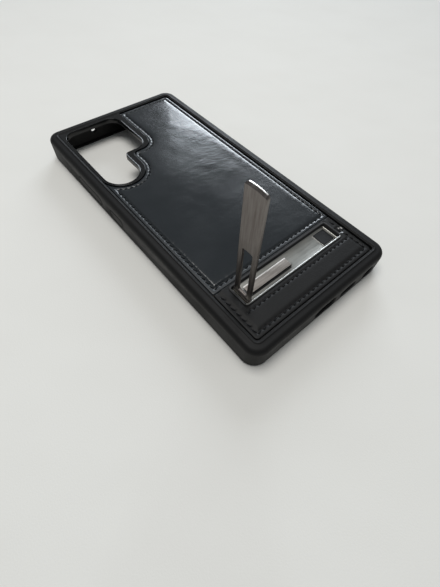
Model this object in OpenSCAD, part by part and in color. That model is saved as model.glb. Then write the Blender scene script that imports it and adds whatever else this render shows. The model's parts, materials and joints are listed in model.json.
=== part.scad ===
// Leather-backed phone case with a fold-out metal kickstand.
// The case lies screen side down: X runs across it, Y along it towards the camera end,
// and Z up through the back. The origin is at the centre of the footprint, on the front lip's face.

/* [Case body] */
// Length from the port end to the camera end
case_l = 168; // [162:1:176]
// Width across the two long sides
case_w = 82; // [80:1:88]
// Outer radius of the four corners
corner_r = 6.5; // [6:0.5:7.5]
// Thickness of the side walls
wall_t = 1.9; // [1.7:0.1:2.1]
// Depth of the phone cavity
phone_t = 8.95; // [8:0.05:9.5]
// Thickness of the lip that holds the phone in
lip_t = 1; // [0.8:0.1:1.4]
// How far the lip reaches in over the screen's edge
lip_in = 1.3; // [1:0.1:1.6]

/* [Back] */
// Microfibre lining
lining_t = 0.3; // [0.2:0.1:0.4]
// Hard back plate
plate_t = 0.8; // [0.6:0.1:1]
// Fibre board that the leather is sewn to
board_t = 0.3; // [0.2:0.1:0.4]
// Leather
leather_t = 0.8; // [0.6:0.1:1]
// Foam under the upper panel
panel_foam_t = 0.6; // [0.4:0.1:0.8]
// Foam under the lower band
band_foam_t = 0.35; // [0.2:0.05:0.5]

/* [Camera opening] */
// Distance of the opening from the outer side and the outer end
camera_inset = 7; // [6.9:0.1:7.5]
// Width of the wide part
camera_w = 32.3; // [30:0.1:34]
// Width of the narrow part
camera_low_w = 18.3; // [17:0.1:20]
// Length of the wide part
camera_h = 33; // [30:0.5:36]
// Whole length
camera_total_h = 54; // [52:0.5:58]
// Radius of the opening's corners
camera_r = 6.5; // [5:0.5:7]
// Width of the bezel beside the leather
bezel_w = 3.8; // [3:0.1:4.2]

/* [Kickstand] */
// Length of the arm from the hinge to its tip
arm_l = 54; // [48:0.5:54]
// Width of the arm
arm_w = 8.8; // [8:0.1:9.2]
// Thickness of the arm
arm_t = 1.3; // [1:0.1:1.4]
// Angle of the arm when it stands open
arm_open = 92; // [60:1:92]
// Length of the window in the arm
window_l = 25.8; // [20:0.1:30]
// Width of the window in the arm
window_w = 4.8; // [4.6:0.1:5]
// Radius of the hinge pin
pin_r = 0.55; // [0.5:0.05:0.6]
// Side of the square magnet
magnet_w = 7; // [6:0.5:7.5]
// Radius of the thumb dish beside the slot's end
dish_r = 2.3; // [2:0.1:2.4]

/* [Stitching] */
// Distance between stitches
stitch_pitch = 2.7; // [2.4:0.1:3.5]
// Length of one stitch
stitch_l = 1.9; // [1.4:0.1:2]
// Radius of the thread
thread_r = 0.22; // [0.15:0.01:0.25]

/* [Buttons and ports] */
// Length of the volume button
volume_l = 23; // [20:0.5:25]
// Length of the power button
power_l = 11; // [9:0.5:12]
// Width of the charging port's cut-out
usb_w = 13; // [11:0.5:14]
// Width of the speaker's cut-out
speaker_w = 10; // [8:0.5:11]
// Width of the stylus's cut-out
stylus_w = 6.5; // [6:0.5:7.5]

/* [Hidden] */
$fn = 48;
half_w = case_w / 2;
half_l = case_l / 2;

// Heights of the layers, from the resting face up
lining_z = lip_t + phone_t;
plate_z = lining_z + lining_t;
board_z = plate_z + plate_t;
foam_z = board_z + board_t;
panel_top = foam_z + panel_foam_t + leather_t;
band_top = foam_z + band_foam_t + leather_t;
sewn_top = foam_z + leather_t;
flange_drop = 0.05;
flange_top = panel_top - flange_drop;
ridge_rise = 0.25;
ridge_top = panel_top + ridge_rise;

// The bumper's section
top_round = 2.4;
bottom_round = 1.3;
flange_in = 5.2;
ridge_in = 4.2;
ridge_r = 0.55;
groove_w = 0.5;
leather_in = flange_in + groove_w;
leather_corner = 1.6;
bond = 0.05;
lining_gap = 0.6;
board_in = 0.2;

// The camera opening, from its top left corner
camera_x = -half_w + camera_inset;
camera_y = half_l - camera_inset;
camera_right = camera_x + camera_w;
camera_low_right = camera_x + camera_low_w;
camera_step = camera_y - camera_h;
camera_end_r = camera_low_w / 2;
camera_end_y = camera_y - camera_total_h + camera_end_r;
peninsula_r = 2.5;
bezel_gap = 0.15;
bezel_edge = flange_in + bezel_gap;
bezel_step = camera_step - 1.5;
bezel_corner = 7.5;
bezel_turn = 3.5;
bezel_rim = 1.1;
bezel_end_r = (camera_low_right + bezel_w + half_w - bezel_edge) / 2;
bezel_end_x = -half_w + bezel_edge + bezel_end_r;
bezel_end_y = camera_end_y + 1.2;
bezel_top = ridge_top - flange_drop;

// The kickstand's slot
slot_w = 9.7;
slot_r = 0.8;
slot_x0 = -27.9;
slot_room = 3.8;
slot_x1 = slot_x0 + arm_l + slot_room;
slot_x = (slot_x0 + slot_x1) / 2;
slot_up = 24.2;
slot_y = -half_l + slot_up;
tray_t = 0.5;
floor_t = 0.35;
tray_z = plate_z;
floor_z = tray_z + floor_t;
tray_top = band_top + 0.25;
tray_rim = 0.4;
tray_rim_gap = 0.03;
tray_flange = 1.4;
tray_flange_t = 0.2;
tape_t = 0.1;
fit_gap = 0.1;
panel_above_slot = 1.8;
panel_end = slot_y + slot_w / 2 + panel_above_slot;

// The thumb dish pressed into the leather
dish_x = 32.8;
dish_y = slot_y - 2.1;
dish_depth = 0.7;
dish_ball_r = (pow(dish_r, 2) + pow(dish_depth, 2)) / (2 * dish_depth);

// The hinge
hinge_in = 2.4;
hinge_up = 1.2;
hinge_x = slot_x0 + hinge_in;
hinge_z = floor_z + hinge_up;
knuckle_r = 1.05;
knuckle_gap = 0.15;
running_gap = 0.05;
window_start = 1.5;
window_r = 0.7;

// The tension leaf inside the arm's window
leaf_t = 0.35;
leaf_gap = 0.2;
leaf_sunk = 0.15;
leaf_start = 1.9;
leaf_end_gap = 0.8;
leaf_foot = 7;
leaf_w = window_w - 2 * leaf_gap;
leaf_z = hinge_z + arm_t / 2 - leaf_t - leaf_sunk;
leaf_x0 = hinge_x + leaf_start;
leaf_x1 = hinge_x + window_start + window_l - leaf_end_gap;

// Magnet
magnet_t = 0.45;
magnet_from_tip = 0.4;
magnet_x = hinge_x + arm_l - magnet_w / 2 - magnet_from_tip;
magnet_frame = 0.35;
magnet_frame_h = 0.2;

// Buttons and ports
button_h = 4.4;
button_z = lip_t + phone_t / 2;
button_gap = 0.2;
button_flange = 0.3;
button_flange_gap = 0.15;
button_flange_t = 0.4;
nub_slim = 1.2;
nub_t = 0.25;
volume_y = 38;
power_y = 12.5;
port_z = lip_t + phone_t / 2;
usb_h = 6.6;
speaker_x = 15;
speaker_h = 4.8;
stylus_x = 29;
mic_x = -14.2;
mic_z = port_z + 1.1;
mic_r = 1.3;

// Stitch rows
stitch_in = 2;
stitch_tilt = 18;
sewn_in = leather_in + stitch_in;
step_in = stitch_in + 0.9;
pad_in = stitch_in + 1.2;
channel_w = 1.3;
channel_d = 0.3;
slot_row_below = 2.9;
slot_row_over = 2.5;
slot_row_y = slot_y - slot_w / 2 - slot_row_below;

// ---- Outlines ----

// Rectangle with round corners, centred
module round_rect(w, l, r) {
    square([w - 2 * r, l], center = true);
    square([w, l - 2 * r], center = true);
    for (x = [-1, 1], y = [-1, 1])
        translate([x * (w / 2 - r), y * (l / 2 - r)])
            circle(r);
}

// Rectangle between two corner points
module span(x0, y0, x1, y1) {
    translate([x0, y0])
        square([x1 - x0, y1 - y0]);
}

// The back's outline, a distance in from the outer faces
module back_outline(inset, r) {
    round_rect(case_w - 2 * inset, case_l - 2 * inset, r);
}

// The piece that rounds a square corner whose solid side lies towards sx, sy
module corner_fill(x, y, r, sx, sy) {
    translate([x, y])
        difference() {
            span(min(0, sx * r), min(0, sy * r), max(0, sx * r), max(0, sy * r));
            translate([sx * r, sy * r])
                circle(r);
        }
}

// The camera opening, made larger all round by grow
module camera_outline(grow = 0) {
    r = camera_r + grow;
    translate([camera_x - grow + r, camera_step - grow + r]) {
        span(-r, 0, camera_w + 2 * grow - r, camera_h + 2 * grow - 2 * r);
        span(0, -r, camera_w + 2 * grow - 2 * r, camera_h + 2 * grow - r);
        for (x = [0, camera_w + 2 * grow - 2 * r], y = [0, camera_h + 2 * grow - 2 * r])
            translate([x, y])
                circle(r);
    }
    span(camera_x - grow, camera_end_y, camera_low_right + grow, camera_step + camera_r);
    translate([camera_x + camera_end_r, camera_end_y])
        circle(camera_end_r + grow);
    corner_fill(camera_low_right + grow, camera_step - grow, peninsula_r - grow, 1, -1);
}

// The bezel's outer edge, made larger by grow; it runs out past the case at the left and the top
module bezel_outline(grow = 0) {
    right = camera_right + bezel_w + grow;
    low_right = camera_low_right + bezel_w + grow;
    step = bezel_step - grow;
    r = bezel_corner + grow;
    difference() {
        span(-half_w, step, right, half_l);
        difference() {
            span(right - r, step, right, step + r);
            translate([right - r, step + r])
                circle(r);
        }
    }
    span(-half_w, bezel_end_y, low_right, half_l);
    translate([bezel_end_x, bezel_end_y])
        circle(bezel_end_r + grow);
    corner_fill(low_right, step, bezel_turn, 1, -1);
}

// The upper leather panel, a distance in from its own edge
module panel_outline(inset = 0) {
    difference() {
        intersection() {
            back_outline(leather_in + inset, leather_corner);
            span(-half_w, panel_end + inset, half_w, half_l);
        }
        bezel_outline(bezel_gap + inset);
    }
}

// The lower leather band, a distance in from its own edge
module band_outline(inset = 0) {
    intersection() {
        back_outline(leather_in + inset, leather_corner);
        span(-half_w, -half_l, half_w, panel_end - fit_gap - inset);
    }
}

// The slot, made larger all round by grow
module slot_outline(grow = 0) {
    translate([slot_x, slot_y])
        round_rect(slot_x1 - slot_x0 + 2 * grow, slot_w + 2 * grow, slot_r + grow);
}

// The thumb dish's edge
module dish_outline() {
    translate([dish_x, dish_y])
        circle(dish_r);
}

// A slab between two heights
module slab(z0, z1) {
    translate([0, 0, z0])
        linear_extrude(z1 - z0)
            children();
}

// ---- Bumper ----

// Half section of the bumper: x is measured from the corner's centre out to the outer face
module bumper_section() {
    difference() {
        union() {
            translate([0, bottom_round])
                square([corner_r, flange_top - top_round - bottom_round]);
            square([corner_r - bottom_round, flange_top - top_round]);
            square([corner_r - top_round, flange_top]);
            translate([corner_r - bottom_round, bottom_round])
                circle(bottom_round);
            translate([corner_r - top_round, flange_top - top_round])
                circle(top_round);
        }
        translate([-1, lip_t])
            square([corner_r - wall_t + 1, board_z - lip_t]);
        translate([-1, -1])
            square([corner_r - wall_t - lip_in + 1, lip_t + 2]);
        translate([-1, board_z - 1])
            square([corner_r - flange_in + 1, flange_top]);
    }
    translate([corner_r - ridge_in, ridge_top - ridge_r])
        circle(ridge_r);
}

// The section carried round the four sides and corners
module bumper_ring() {
    cx = half_w - corner_r;
    cy = half_l - corner_r;
    for (i = [0:3])
        rotate(90 * i)
            translate(i % 2 == 0 ? [cx, cy] : [cy, cx])
                rotate_extrude(angle = 90)
                    bumper_section();
    for (i = [0:3])
        rotate(90 * i)
            translate([i % 2 == 0 ? cx : cy, i % 2 == 0 ? cy : cx])
                rotate([90, 0, 0])
                    linear_extrude(i % 2 == 0 ? 2 * cy : 2 * cx)
                        bumper_section();
}

// A slot through a wall along the Y axis, round ended, for a port
module port_cut(x, w, h) {
    r = min(h, w) / 2 - 0.01;
    translate([x, -half_l + wall_t + lip_in, port_z])
        rotate([90, 0, 0])
            linear_extrude(wall_t + lip_in + 1)
                round_rect(w, h, r);
}

// Round-ended block across the left wall, grown all round by grow
module button_block(y, l, grow, x0, x1) {
    translate([x0, y, button_z])
        rotate([90, 0, 90])
            linear_extrude(x1 - x0)
                round_rect(l + 2 * grow, button_h + 2 * grow, button_h / 2 + grow - 0.01);
}

// The window for a button and the step behind it that keeps the button in
module button_window(y, l) {
    inner = -half_w + wall_t;
    button_block(y, l, button_gap, -half_w - 1, inner + 1);
    button_block(y, l, button_gap + button_flange + button_flange_gap,
        inner - button_flange_t - 2 * bond, inner + 1);
}

module bumper_frame() {
    color("#222222")
        difference() {
            bumper_ring();
            port_cut(0, usb_w, usb_h);
            port_cut(speaker_x, speaker_w, speaker_h);
            port_cut(stylus_x, stylus_w, usb_h);
            translate([mic_x, half_l + 1, mic_z])
                rotate([90, 0, 0])
                    cylinder(h = wall_t + 2, r = mic_r);
            button_window(volume_y, volume_l);
            button_window(power_y, power_l);
        }
}

// ---- Back ----

module back_plate() {
    color("#1b1b1d")
        slab(plate_z, board_z)
            difference() {
                back_outline(wall_t + bond, corner_r - wall_t - bond);
                camera_outline(bond);
                slot_outline(tray_t + fit_gap);
            }
}

module inner_lining() {
    color("#3a3a3d")
        slab(lining_z, plate_z)
            difference() {
                back_outline(wall_t + lining_gap, corner_r - wall_t - lining_gap);
                camera_outline(lining_gap);
            }
}

module camera_bezel() {
    color("#101010")
        difference() {
            union() {
                slab(board_z, flange_top)
                    intersection() {
                        bezel_outline();
                        back_outline(bezel_edge, corner_r - bezel_edge);
                    }
                slab(flange_top - bond, bezel_top)
                    intersection() {
                        camera_outline(bezel_rim);
                        back_outline(bezel_edge, corner_r - bezel_edge);
                    }
            }
            slab(board_z - 1, bezel_top + 1)
                camera_outline();
        }
}

module backing_board() {
    color("#6b5a48")
        slab(board_z, foam_z)
            difference() {
                back_outline(leather_in + board_in, leather_corner);
                bezel_outline(bezel_gap + board_in);
                slot_outline(tray_t + tray_flange + fit_gap);
            }
}

module panel_padding() {
    color("#d8d2c4")
        slab(foam_z, foam_z + panel_foam_t)
            panel_outline(pad_in + bond);
}

module leather_panel() {
    color("#2b2f33")
        difference() {
            union() {
                slab(foam_z, sewn_top)
                    panel_outline();
                slab(foam_z, panel_top)
                    panel_outline(step_in);
            }
            slab(foam_z - 1, foam_z + panel_foam_t)
                panel_outline(pad_in);
        }
}

module band_padding() {
    color("#d8d2c4")
        slab(foam_z, foam_z + band_foam_t)
            difference() {
                band_outline(pad_in + bond);
                slot_outline(tray_t + tray_flange + fit_gap + bond);
                dish_outline();
            }
}

module leather_band() {
    color("#202020")
        difference() {
            union() {
                slab(foam_z, sewn_top)
                    band_outline();
                slab(foam_z, band_top)
                    band_outline(step_in);
            }
            slab(foam_z - 1, band_top + 1)
                slot_outline(tray_t + fit_gap);
            slab(foam_z - 1, foam_z + band_foam_t)
                difference() {
                    band_outline(pad_in);
                    slot_outline(tray_t + tray_flange + fit_gap);
                    dish_outline();
                }
            translate([dish_x, dish_y, band_top - dish_depth + dish_ball_r])
                sphere(dish_ball_r);
            slab(band_top - channel_d, band_top + 1)
                translate([slot_x, slot_row_y])
                    square([slot_x1 - slot_x0 + 2 * slot_row_over, channel_w], center = true);
        }
}

// ---- Stitching ----

// One stitch lying along X, on the surface at z = 0
module stitch() {
    translate([0, 0, thread_r])
        rotate([0, 90, stitch_tilt])
            cylinder(h = stitch_l, r = thread_r, center = true, $fn = 16);
}

// Stitches at an even pitch along a straight row
module stitch_line(p0, p1) {
    d = p1 - p0;
    n = floor(norm(d) / stitch_pitch);
    for (i = [0.5:n])
        translate(p0 + d * i / n)
            rotate(atan2(d[1], d[0]))
                stitch();
}

// Stitches at an even pitch round an arc, from angle a0 to angle a1
module stitch_arc(centre, r, a0, a1) {
    n = max(1, round(r * abs(a1 - a0) * PI / 180 / stitch_pitch));
    for (i = [0.5:n])
        translate(centre)
            rotate(a0 + (a1 - a0) * i / n)
                translate([r, 0])
                    rotate(a1 > a0 ? 90 : -90)
                        stitch();
}

module panel_stitching() {
    x = half_w - sewn_in;
    y = half_l - sewn_in;
    low = panel_end + stitch_in;
    color("#30343a")
        translate([0, 0, sewn_top]) {
            stitch_line([-x, bezel_end_y - bezel_end_r - 1], [-x, low]);
            stitch_line([-x, low], [x, low]);
            stitch_line([x, low], [x, y]);
            stitch_line([x, y], [camera_right + bezel_w + bezel_gap + stitch_in, y]);
        }
}

module camera_stitching() {
    out = bezel_gap + stitch_in;
    right = camera_right + bezel_w + out;
    low_right = camera_low_right + bezel_w + out;
    step = bezel_step - out;
    round_r = bezel_corner + out;
    turn_r = bezel_turn - out;
    end_r = bezel_end_r + out;
    color("#30343a")
        translate([0, 0, sewn_top]) {
            stitch_line([right, half_l - sewn_in - 1], [right, step + round_r]);
            stitch_arc([right - round_r, step + round_r], round_r, 0, -90);
            stitch_arc([low_right + turn_r, step - turn_r], turn_r, 90, 180);
            stitch_line([low_right, step - turn_r], [low_right, bezel_end_y]);
            stitch_arc([bezel_end_x, bezel_end_y], end_r, 0, -130);
        }
}

module slot_stitching() {
    color("#2a2a2a")
        translate([0, 0, band_top - channel_d])
            stitch_line([slot_x0 - slot_row_over, slot_row_y], [slot_x1 + slot_row_over, slot_row_y]);
}

module border_stitching() {
    x = half_w - sewn_in;
    y = half_l - sewn_in;
    top = panel_end - stitch_in;
    color("#2a2a2a")
        translate([0, 0, sewn_top]) {
            stitch_line([-x, top], [-x, -y]);
            stitch_line([-x, -y], [x, -y]);
            stitch_line([x, -y], [x, dish_y - dish_r]);
            stitch_line([x, dish_y + dish_r], [x, top]);
        }
}

// ---- Kickstand ----

module kickstand_tray() {
    color("#a5a49c")
        difference() {
            union() {
                slab(tray_z, tray_top)
                    slot_outline(tray_t);
                slab(board_z + tape_t, board_z + tape_t + tray_flange_t)
                    slot_outline(tray_t + tray_flange);
                slab(band_top + tray_rim_gap, tray_top)
                    slot_outline(tray_t + tray_rim);
            }
            difference() {
                slab(floor_z, tray_top + 1)
                    slot_outline();
                slab(floor_z - bond, floor_z + magnet_frame_h)
                    translate([magnet_x, slot_y])
                        square(magnet_w + 2 * magnet_frame, center = true);
            }
            slab(floor_z, floor_z + 1)
                translate([magnet_x, slot_y])
                    square(magnet_w, center = true);
            translate([hinge_x, slot_y, hinge_z])
                rotate([90, 0, 0])
                    cylinder(h = slot_w + 2 * tray_t + 1, r = pin_r, center = true);
        }
}

module tray_adhesive() {
    color("#d9d9d0")
        slab(board_z, board_z + tape_t)
            difference() {
                slot_outline(tray_t + tray_flange);
                slot_outline(tray_t + fit_gap);
            }
}

module tension_leaf() {
    color("#a29890")
        translate([0, slot_y + leaf_w / 2, 0])
            rotate([90, 0, 0])
                linear_extrude(leaf_w) {
                    span(leaf_x0, leaf_z, leaf_x1, leaf_z + leaf_t);
                    span(leaf_x1 - leaf_t, floor_z, leaf_x1, leaf_z + leaf_t);
                    span(leaf_x1 - leaf_foot, floor_z, leaf_x1, floor_z + leaf_t);
                }
}

module magnet() {
    color("#1c1c1e")
        translate([magnet_x, slot_y, floor_z + magnet_t / 2])
            cube([magnet_w, magnet_w, magnet_t], center = true);
}

module hinge_pin() {
    color("#b8b6b0")
        translate([hinge_x, slot_y, hinge_z])
            rotate([90, 0, 0])
                cylinder(h = slot_w + 2 * tray_t, r = pin_r, center = true);
}

// The arm lying folded, with the hinge axis along Y at the origin
module folded_arm() {
    tip_r = 1.2;
    bevel = 0.5;
    difference() {
        union() {
            rotate([90, 0, 0])
                cylinder(h = slot_w - 2 * knuckle_gap, r = knuckle_r, center = true);
            slab(-arm_t / 2, arm_t / 2) {
                span(0, -arm_w / 2, arm_l - tip_r, arm_w / 2);
                translate([arm_l / 2, 0])
                    round_rect(arm_l, arm_w, tip_r);
            }
        }
        rotate([90, 0, 0])
            cylinder(h = slot_w + 1, r = pin_r + running_gap, center = true);
        slab(-arm_t, arm_t)
            translate([window_start + window_l / 2, 0])
                round_rect(window_l, window_w, window_r);
        translate([arm_l, 0, arm_t / 2])
            rotate([0, 45, 0])
                cube([bevel * sqrt(2), arm_w + 1, bevel * sqrt(2)], center = true);
    }
}

module kickstand_arm() {
    color("#625c58")
        translate([hinge_x, slot_y, hinge_z])
            rotate([0, -arm_open, 0])
                folded_arm();
}

// ---- Buttons ----

module button_cover(y, l) {
    inner = -half_w + wall_t - bond;
    button_block(y, l, 0, -half_w, inner - button_flange_t);
    button_block(y, l, button_gap + button_flange, inner - button_flange_t, inner);
    button_block(y, l / 2, -nub_slim, inner, inner + nub_t);
}

module volume_button() {
    color("#222222")
        button_cover(volume_y, volume_l);
}

module power_button() {
    color("#222222")
        button_cover(power_y, power_l);
}

bumper_frame();
back_plate();
inner_lining();
camera_bezel();
backing_board();
panel_padding();
leather_panel();
panel_stitching();
camera_stitching();
band_padding();
leather_band();
slot_stitching();
border_stitching();
kickstand_tray();
tray_adhesive();
tension_leaf();
magnet();
hinge_pin();
kickstand_arm();
volume_button();
power_button();
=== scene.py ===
"""A leather-backed phone case with a fold-out kickstand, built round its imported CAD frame.

Lengths in this file are millimetres until a mesh is made, and MM turns them into metres.
"""

import json
import math
import random

import bpy
import numpy as np
from mathutils import Matrix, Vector
from mathutils.geometry import delaunay_2d_cdt


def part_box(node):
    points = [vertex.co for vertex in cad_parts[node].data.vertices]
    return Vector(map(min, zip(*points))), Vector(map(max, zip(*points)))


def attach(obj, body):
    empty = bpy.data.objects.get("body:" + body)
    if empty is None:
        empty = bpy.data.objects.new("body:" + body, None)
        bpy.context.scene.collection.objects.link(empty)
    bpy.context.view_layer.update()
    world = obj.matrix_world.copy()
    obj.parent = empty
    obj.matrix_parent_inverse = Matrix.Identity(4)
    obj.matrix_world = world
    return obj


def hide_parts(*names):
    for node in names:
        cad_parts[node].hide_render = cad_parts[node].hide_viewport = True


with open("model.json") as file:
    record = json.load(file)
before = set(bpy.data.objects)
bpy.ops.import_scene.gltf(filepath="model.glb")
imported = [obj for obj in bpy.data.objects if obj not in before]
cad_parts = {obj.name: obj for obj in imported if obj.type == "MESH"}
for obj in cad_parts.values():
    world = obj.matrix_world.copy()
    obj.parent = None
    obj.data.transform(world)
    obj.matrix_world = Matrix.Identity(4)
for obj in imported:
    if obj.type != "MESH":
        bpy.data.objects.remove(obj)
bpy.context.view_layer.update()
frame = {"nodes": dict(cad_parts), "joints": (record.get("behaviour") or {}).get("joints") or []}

MM = 0.001


# ---- Places and sizes ----

def box_mm(node):
    """Lowest and highest corner of a CAD node, in millimetres."""
    low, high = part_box(node)
    return np.array(low) / MM, np.array(high) / MM


def joint_mm(name):
    """Where a joint's axis is, in millimetres."""
    found = [j for j in frame["joints"] if j["name"] == name][0]
    return np.array(found["pos_m"]) / MM


HALF_W, HALF_L, RIDGE_TOP = box_mm("bumper_frame")[1]
PLATE_TOP = box_mm("back_plate")[1][2]
PANEL_LOW, PANEL_HIGH = box_mm("leather_panel")
BAND_LOW, BAND_HIGH = box_mm("leather_band")
BEZEL_LOW, BEZEL_HIGH = box_mm("camera_bezel")
LINING_LOW, LINING_HIGH = box_mm("inner_lining")
TRAY_LOW, TRAY_HIGH = box_mm("kickstand_tray")
LEAF_LOW, LEAF_HIGH = box_mm("tension_leaf")
MAGNET_LOW, MAGNET_HIGH = box_mm("magnet")
VOLUME_BOX = box_mm("volume_button")
POWER_BOX = box_mm("power_button")
HINGE = joint_mm("kickstand_hinge")

# The bumper
CORNER_R = 6.5
WALL = 1.9
LIP_T = 1.0
LIP_IN = 1.3
LIP_ROUND = 0.25
TOP_ROUND = 2.4
BOTTOM_ROUND = 1.3
FLANGE_IN = 5.2
RIDGE_IN = 4.2
RIDGE_R = 0.55
FLANGE_TOP = RIDGE_TOP - 0.3
PORT_Z = LIP_T + (LINING_LOW[2] - LIP_T) / 2
USB = (0.0, 13.0, 6.6)
SPEAKER = (15.0, 10.0, 4.8)
STYLUS = (29.0, 6.5, 6.6)
MIC_X = -14.2
MIC_Z = PORT_Z + 1.1
MIC_R = 1.3
BUTTON_GAP = 0.2
BUTTON_STEP = 0.45
BUTTON_FLANGE_T = 0.4
BUTTON_FLANGE_W = 0.5
NUB_IN = 1.3

# The camera opening
CAMERA_X0 = -HALF_W + 7.0
CAMERA_X1 = CAMERA_X0 + 32.3
CAMERA_LOW_X = CAMERA_X0 + 18.3
CAMERA_Y1 = HALF_L - 7.0
CAMERA_STEP = CAMERA_Y1 - 33.0
CAMERA_Y0 = CAMERA_Y1 - 54.0
CAMERA_R = 6.5
CAMERA_TURN = 2.5
BEZEL_X1 = BEZEL_HIGH[0]
BEZEL_LOW_X = CAMERA_LOW_X + (BEZEL_X1 - CAMERA_X1)
BEZEL_STEP = CAMERA_STEP - 1.5
BEZEL_R = 7.5
BEZEL_TURN = 3.5
BEZEL_END_R = (BEZEL_LOW_X - BEZEL_LOW[0]) / 2
BEZEL_END = (BEZEL_LOW[0] + BEZEL_END_R, BEZEL_LOW[1] + BEZEL_END_R)
BEZEL_GAP = 0.15

# The leather
BOARD_TOP = PANEL_LOW[2]
LEATHER_T = 0.8
SEWN_TOP = BOARD_TOP + LEATHER_T
PANEL_TOP = PANEL_HIGH[2]
BAND_TOP = BAND_HIGH[2]
LEATHER_CORNER = 1.6
STITCH_IN = 2.0
STITCH_PITCH = 2.7
STITCH_L = 1.9
STITCH_TILT = math.radians(18)
THREAD_R = 0.22
DISH = (32.8, HINGE[1] - 2.1)
DISH_R = 2.3
DISH_DEPTH = 0.7

# The kickstand
SLOT_Y = HINGE[1]
SLOT_W = 9.7
SLOT_R = 0.8
TRAY_WALL = 0.5
TRAY_FLANGE = 1.4
TRAY_RIM = 0.4
SLOT_X0 = TRAY_LOW[0] + TRAY_WALL + TRAY_FLANGE
SLOT_X1 = TRAY_HIGH[0] - TRAY_WALL - TRAY_FLANGE
FLOOR_Z = MAGNET_LOW[2]
TRAY_TOP = TRAY_HIGH[2]
SLOT_ROW_Y = SLOT_Y - SLOT_W / 2 - 2.9
ARM_L = 54.0
ARM_W = 8.8
ARM_T = 1.3
ARM_OPEN = 92.0
KNUCKLE_R = 1.05
KNUCKLE_L = 9.4
WINDOW_START = 1.5
WINDOW_L = 25.8
WINDOW_W = 4.8
TIP_ARCH = 0.45
PIN_R = 0.6
LEAF_T = 0.35
LEAF_FOOT = 7.0
EDGING_W = 0.35

# The stage
FLOOR_HALF = 2500.0
FLOOR_CELLS = 20
LENS_MM = 20.55
VIEW_FROM = (-82.43, -105.57, 124.18)
VIEW_TURN = (32.493, -2.420, -40.298)
SKY = ((0.93, 0.97, 1.0, 1), 0.245)


# ---- Outlines ----

def unit(v):
    return v / np.linalg.norm(v)


def units(rows):
    return rows / np.linalg.norm(rows, axis=1)[:, None]


def arc(centre, radius, start, end, step=0.6, count=0):
    """Points round an arc from one angle to another, in degrees, both ends included. There are
    count of them, or enough to be about step apart."""
    a0, a1 = math.radians(start), math.radians(end)
    enough = max(3, math.ceil(abs(a1 - a0) * radius / step), math.ceil(abs(end - start) / 9))
    angles = np.linspace(a0, a1, count or enough + 1)
    return np.stack([centre[0] + radius * np.cos(angles), centre[1] + radius * np.sin(angles)], 1)


def rounded(corners, step=0.6):
    """A closed outline, anticlockwise, through corners (x, y, radius)."""
    points = []
    for i, (x, y, radius) in enumerate(corners):
        here = np.array((x, y), float)
        if radius <= 0:
            points.append(here[None])
            continue
        before = unit(np.array(corners[i - 1][:2]) - here)
        after = unit(np.array(corners[(i + 1) % len(corners)][:2]) - here)
        half = math.acos(np.clip(before @ after, -1, 1)) / 2
        centre = here + unit(before + after) * radius / math.sin(half)
        first = here + before * radius / math.tan(half) - centre
        left = after[0] * before[1] - after[1] * before[0] > 0
        turn = (180 - 2 * math.degrees(half)) * (1 if left else -1)
        a = math.degrees(math.atan2(first[1], first[0]))
        points.append(arc(centre, radius, a, a + turn, step))
    points = np.concatenate(points)
    return points[np.linalg.norm(points - np.roll(points, 1, 0), axis=1) > 1e-4]


def filled_in(loop, run):
    """The outline with points added so that none are more than run apart."""
    points = []
    for a, b in zip(loop, np.roll(loop, -1, 0)):
        count = max(1, math.ceil(np.linalg.norm(b - a) / run - 1e-6))
        points.extend(a + (b - a) * k / count for k in range(count))
    return np.array(points)


def propped(loop, reach=0.6):
    """The outline with a point near each end of its long straight runs, to keep the shading flat."""
    points = []
    for a, b in zip(loop, np.roll(loop, -1, 0)):
        points.append(a)
        if np.linalg.norm(b - a) > 4 * reach:
            along = unit(b - a) * reach
            points.extend((a + along, b - along))
    return np.array(points)


def inward(loop):
    """The unit normals of an anticlockwise outline, pointing in."""
    ahead = units(np.roll(loop, -1, 0) - loop)
    tangent = units(ahead + units(loop - np.roll(loop, 1, 0)))
    reach = 1 / np.maximum(0.5, (ahead * tangent).sum(1))
    return np.stack([-tangent[:, 1], tangent[:, 0]], 1) * reach[:, None]


def at(loop, inset, z):
    """A ring: the outline moved in by inset, at height z."""
    flat = loop + inward(loop) * inset
    return np.column_stack([flat, np.full(len(flat), z)])


def round_rect(x0, y0, x1, y1, r, step=0.6):
    return rounded([(x0, y0, r), (x1, y0, r), (x1, y1, r), (x0, y1, r)], step)


def slot_outline(grow, step=0.3):
    return round_rect(SLOT_X0 - grow, SLOT_Y - SLOT_W / 2 - grow, SLOT_X1 + grow,
                      SLOT_Y + SLOT_W / 2 + grow, SLOT_R + grow, step)


def camera_outline(grow, step=0.5):
    """The stepped camera opening, made larger all round by grow."""
    end_r = (CAMERA_LOW_X - CAMERA_X0) / 2 + grow
    x0, y1 = CAMERA_X0 - grow, CAMERA_Y1 + grow
    return rounded([
        (x0, y1, CAMERA_R + grow),
        (x0, CAMERA_Y0 - grow, end_r),
        (CAMERA_LOW_X + grow, CAMERA_Y0 - grow, end_r),
        (CAMERA_LOW_X + grow, CAMERA_STEP - grow, CAMERA_TURN - grow),
        (CAMERA_X1 + grow, CAMERA_STEP - grow, CAMERA_R + grow),
        (CAMERA_X1 + grow, y1, CAMERA_R + grow)], step)


def bezel_outline(step=0.5):
    """The outer edge of the camera opening's bezel."""
    x0, y0 = BEZEL_LOW[0], BEZEL_LOW[1]
    y1 = BEZEL_HIGH[1]
    return rounded([
        (x0, y1, CORNER_R - FLANGE_IN),
        (x0, y0, BEZEL_END_R),
        (BEZEL_LOW_X, y0, BEZEL_END_R),
        (BEZEL_LOW_X, BEZEL_STEP, BEZEL_TURN),
        (BEZEL_X1, BEZEL_STEP, BEZEL_R),
        (BEZEL_X1, y1, 0.7)], step)


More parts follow.
